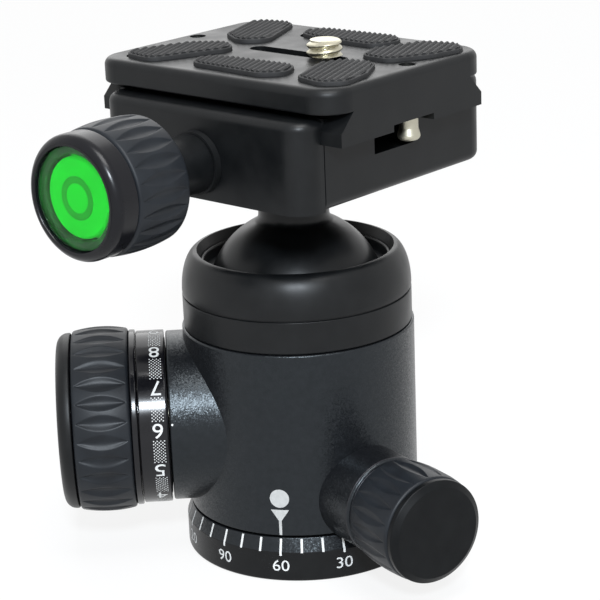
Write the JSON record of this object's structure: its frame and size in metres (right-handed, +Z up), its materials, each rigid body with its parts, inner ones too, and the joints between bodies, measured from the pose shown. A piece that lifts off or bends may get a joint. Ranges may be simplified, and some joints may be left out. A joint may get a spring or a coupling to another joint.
{
  "type": "tripod ball head",
  "caption": "Compact tripod ball head with panning base, side lock knobs, drop notch and screw clamp holding a padded quick-release camera plate.",
  "frame": {"origin": "centre of the base's bottom face, at the mouth of the tripod thread", "axes": "+Z up out of the base through the ball; -X along the main lock knob; +Y towards the drop notch"},
  "size_m": [0.079, 0.0789, 0.0961],
  "materials": {
    "powder_coat": "fine black sparkle powder coat",
    "black_anodised": "satin black anodised",
    "gloss_anodised": "polished black anodised",
    "grip_rubber": "dark blue-grey rubber",
    "pad_rubber": "ribbed matte rubber",
    "black_steel": "blackened steel",
    "bright_steel": "bright steel",
    "brass": "turned brass",
    "black_plastic": "low-friction plastic",
    "level_fluid": "green level fluid",
    "lens": "clear lens"
  },
  "bodies": {
    "base": {"base_disc": "black_anodised", "pan_spindle": "bright_steel", "base_screws": "black_steel"},
    "housing": {"housing": "powder_coat", "retaining_collar": "black_anodised", "upper_race": "black_plastic", "pan_retaining_ring": "black_anodised", "pan_ring_screws": "black_steel", "pan_thrust_washer": "black_plastic", "main_knob_bush": "brass"},
    "lower_seat": {"lower_seat": "black_plastic", "seat_wedge": "bright_steel"},
    "lock_plunger": {"lock_plunger": "bright_steel"},
    "main_knob": {"main_knob_hub": "gloss_anodised", "main_scale_ring": "gloss_anodised", "main_knob_grip": "grip_rubber", "main_knob_cap": "black_anodised", "main_lock_shaft": "bright_steel", "main_hub_screw": "black_steel"},
    "pan_pad": {"pan_lock_pad": "brass"},
    "pan_knob": {"pan_knob_hub": "black_anodised", "pan_knob_grip": "grip_rubber", "pan_knob_cap": "black_anodised", "pan_lock_screw": "bright_steel"},
    "ball": {"ball": "black_anodised"},
    "clamp": {"clamp_base": "black_anodised", "clamp_mount_screw": "black_steel", "jaw_guide_pins": "bright_steel", "jaw_springs": "bright_steel"},
    "jaw": {"clamp_jaw": "black_anodised", "clamp_knob_washer": "black_plastic"},
    "clamp_knob": {"clamp_knob_hub": "black_anodised", "clamp_knob_grip": "grip_rubber", "level_bezel": "gloss_anodised", "level_vial": "level_fluid", "level_lens": "lens", "clamp_screw": "bright_steel"},
    "plate": {"quick_plate": "black_anodised", "plate_pad_1": "pad_rubber", "plate_pad_2": "pad_rubber", "plate_pad_3": "pad_rubber", "plate_pad_4": "pad_rubber", "plate_pad_5": "pad_rubber", "plate_pad_6": "pad_rubber", "plate_stop_screws": "bright_steel"},
    "screw_slider": {"screw_retainer": "bright_steel"},
    "camera_screw": {"camera_screw": "bright_steel"}
  },
  "joints": [
    {"name": "pan_rotation", "type": "hinge", "parent": "base", "child": "housing", "pos_m": [0, 0, 0], "axis": [0, 0, 1], "continuous": true},
    {"name": "plunger_slide", "type": "slide", "parent": "housing", "child": "lock_plunger", "axis": [1, 0, 0], "range_m": [-0.00046667, 0.00023333]},
    {"name": "seat_lift", "type": "slide", "parent": "housing", "child": "lower_seat", "axis": [0, 0, 1], "range_m": [-0.00017019, 0.000085096]},
    {"name": "main_knob_turn", "type": "hinge", "parent": "lock_plunger", "child": "main_knob", "pos_m": [-0.035, 0, 0.0255], "axis": [-1, 0, 0], "range_deg": [-84.17, 168.34]},
    {"name": "pan_pad_slide", "type": "slide", "parent": "housing", "child": "pan_pad", "axis": [0.4818, -0.8763, 0], "range_m": [0, 0.0006]},
    {"name": "pan_knob_turn", "type": "hinge", "parent": "pan_pad", "child": "pan_knob", "pos_m": [0.01686, -0.03067, 0.01495], "axis": [0.4818, -0.8763, 0], "range_deg": [0, 270.54]},
    {"name": "ball_tilt", "type": "hinge", "parent": "housing", "child": "ball", "pos_m": [0, 0, 0.0474], "axis": [-1, 0, 0], "range_deg": [-38, 90]},
    {"name": "clamp_spin", "type": "hinge", "parent": "ball", "child": "clamp", "pos_m": [0, 0, 0.0715], "axis": [0, 0, 1], "continuous": true},
    {"name": "jaw_slide", "type": "slide", "parent": "clamp", "child": "jaw", "axis": [-0.7059, -0.7083, 0], "range_m": [0, 0.003]},
    {"name": "clamp_knob_turn", "type": "hinge", "parent": "jaw", "child": "clamp_knob", "pos_m": [-0.02823, -0.02833, 0.0781], "axis": [-0.7059, -0.7083, 0], "range_deg": [0, 1082.16]},
    {"name": "plate_slide", "type": "slide", "parent": "clamp", "child": "plate", "axis": [0.7083, -0.7059, 0], "range_m": [-0.0084, 0.0076]},
    {"name": "screw_slide", "type": "slide", "parent": "plate", "child": "screw_slider", "axis": [0.7083, -0.7059, 0], "range_m": [-0.015, 0.0028]},
    {"name": "camera_screw_turn", "type": "hinge", "parent": "screw_slider", "child": "camera_screw", "pos_m": [0.0062, -0.00618, 0.0924], "axis": [0, 0, 1], "continuous": true}
  ],
  "couplings": [
    {"joint": "main_knob_turn", "follows": "plunger_slide", "rad_per_m": -6283.2},
    {"joint": "seat_lift", "follows": "plunger_slide", "ratio": 0.36397},
    {"joint": "pan_knob_turn", "follows": "pan_pad_slide", "rad_per_m": 7854},
    {"joint": "clamp_knob_turn", "follows": "jaw_slide", "rad_per_m": 6283.2}
  ]
}
